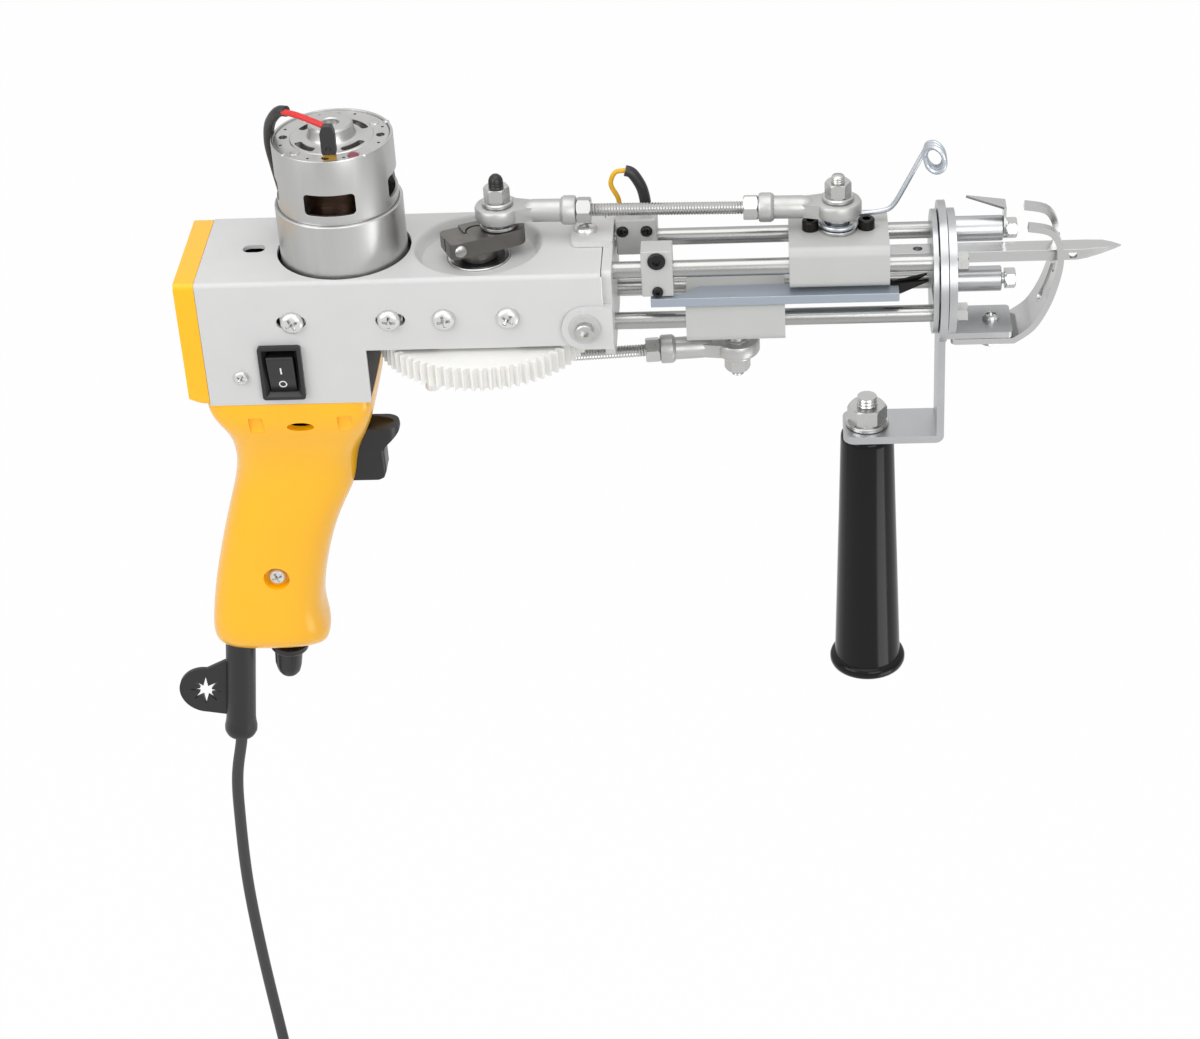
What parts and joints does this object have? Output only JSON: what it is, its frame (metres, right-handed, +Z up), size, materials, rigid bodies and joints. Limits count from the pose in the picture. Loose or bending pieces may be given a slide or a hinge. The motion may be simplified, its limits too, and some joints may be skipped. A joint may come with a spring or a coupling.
{
  "type": "handheld tufting machine",
  "caption": "Handheld tufting machine with an upright motor, geared twin cranks, needle and cutter sliders on guide rods, a pistol grip and a front handle.",
  "frame": {"origin": "middle of the hand grip, on the machine's middle plane", "axes": "+X forward to the needle's tip, +Y to the side away from the power switch, +Z up"},
  "size_m": [0.3539, 0.076, 0.5921],
  "materials": {
    "body_paint": "satin light grey powder coat",
    "yellow_plastic": "moulded yellow plastic, gloss",
    "gloss_black": "moulded black plastic, gloss",
    "black_plastic": "moulded black plastic, satin",
    "plated_steel": "zinc plated steel",
    "chrome": "polished",
    "zinc_steel": "blue zinc plated steel",
    "black_steel": "blackened steel",
    "white_nylon": "moulded white nylon, satin",
    "rotor": "enamelled copper winding on a steel core, with a steel pinion",
    "red_wire": "red insulation",
    "yellow_wire": "yellow insulation and black sleeve",
    "cord_rubber": "soft PVC sheath, satin"
  },
  "bodies": {
    "machine": {"housing": "body_paint", "rear_cover": "yellow_plastic", "power_switch_body": "gloss_black", "grip_near_shell": "yellow_plastic", "grip_far_shell": "yellow_plastic", "grip_screw": "plated_steel", "trigger_switch": "black_plastic", "strain_relief": "black_plastic", "speed_control": "black_plastic", "motor_can": "plated_steel", "motor_flux_ring": "plated_steel", "motor_end_cap": "plated_steel", "motor_mount": "plated_steel", "motor_lead_red": "red_wire", "motor_lead_black": "black_plastic", "upper_bearing": "chrome", "lower_bearing": "chrome", "bearing_block": "white_nylon", "nose_bracket": "body_paint", "guide_rod_near_upper": "chrome", "guide_rod_near_lower": "chrome", "guide_rod_far_upper": "chrome", "guide_rod_far_lower": "chrome", "yarn_hook": "plated_steel", "rod_clamp": "body_paint", "stop_switch_block": "body_paint", "switch_wire": "yellow_wire", "rear_disc": "chrome", "handle_bracket": "chrome", "front_disc": "chrome", "front_handle": "gloss_black", "handle_bolt": "plated_steel", "cord_free": "cord_rubber", "cord_coil": "cord_rubber", "cord_tie": "black_plastic", "mains_plug": "black_plastic"},
    "rocker": {"power_switch_rocker": "gloss_black"},
    "trigger": {"trigger": "black_plastic"},
    "speed_knob": {"speed_knob": "black_plastic"},
    "rotor": {"motor_rotor_with_pinion": "rotor"},
    "crank": {"main_gear": "white_nylon", "crank_shaft": "plated_steel", "crank_arm": "black_steel"},
    "needle_carriage": {"needle_slider": "body_paint", "upper_slider_stud": "plated_steel", "needle": "chrome", "yarn_guide": "plated_steel"},
    "cutter_carriage": {"cutter_slider": "body_paint", "lower_slider_stud": "plated_steel", "push_bar": "zinc_steel"},
    "upper_rod": {"upper_rod_end_front": "chrome", "upper_tie_rod": "plated_steel", "upper_rod_end_rear": "chrome", "upper_crank_pin": "plated_steel"},
    "lower_rod": {"lower_rod_end_front": "chrome", "lower_tie_rod": "plated_steel", "lower_rod_end_rear": "chrome", "lower_crank_pin": "plated_steel"},
    "swinging_blade": {"swinging_blade": "black_steel"},
    "presser_foot": {"presser_foot": "chrome"}
  },
  "joints": [
    {"name": "rocker_tilt", "type": "hinge", "parent": "machine", "child": "rocker", "pos_m": [0.0144, -0.0245, 0.083], "axis": [1, 0, 0], "range_deg": [-22, 0]},
    {"name": "trigger_pull", "type": "slide", "parent": "machine", "child": "trigger", "axis": [1, 0, 0], "range_m": [-0.005, 0], "stiffness_N_per_m": 400, "springref_m": 0.0015},
    {"name": "speed_turn", "type": "hinge", "parent": "machine", "child": "speed_knob", "pos_m": [-0.0014, 0, -0.05035], "axis": [0.1167, 0, 0.9932], "range_deg": [-140, 140]},
    {"name": "crank_turn", "type": "hinge", "parent": "machine", "child": "crank", "pos_m": [0.084, 0, 0.118], "axis": [0, 0, 1], "continuous": true},
    {"name": "rotor_turn", "type": "hinge", "parent": "machine", "child": "rotor", "pos_m": [0.037, 0, 0.118], "axis": [0, 0, 1], "continuous": true},
    {"name": "needle_slide", "type": "slide", "parent": "machine", "child": "needle_carriage", "axis": [1, 0, 0], "range_m": [-0.01581, 0.00079]},
    {"name": "cutter_slide", "type": "slide", "parent": "machine", "child": "cutter_carriage", "axis": [1, 0, 0], "range_m": [-0.00205, 0.04077]},
    {"name": "upper_rod_swing", "type": "hinge", "parent": "needle_carriage", "child": "upper_rod", "pos_m": [0.20941, 0, 0.1287], "axis": [0, 0, 1], "range_deg": [-2.37, 5.7]},
    {"name": "lower_rod_swing", "type": "hinge", "parent": "cutter_carriage", "child": "lower_rod", "pos_m": [0.17325, 0, 0.0749], "axis": [0, 0, 1], "range_deg": [-15.96, 6.66]},
    {"name": "blade_close", "type": "hinge", "parent": "cutter_carriage", "child": "swinging_blade", "pos_m": [0.227, -0.00925, 0.102], "axis": [0, 1, 0], "range_deg": [-0.4, 7.71]},
    {"name": "foot_adjust", "type": "slide", "parent": "machine", "child": "presser_foot", "axis": [1, 0, 0], "range_m": [0, 0.011]}
  ],
  "couplings": [
    {"joint": "rotor_turn", "follows": "crank_turn", "ratio": -3.7},
    {"joint": "cutter_slide", "follows": "needle_slide", "ratio": -2.5783},
    {"joint": "blade_close", "follows": "needle_slide", "rad_per_m": -8.5}
  ]
}
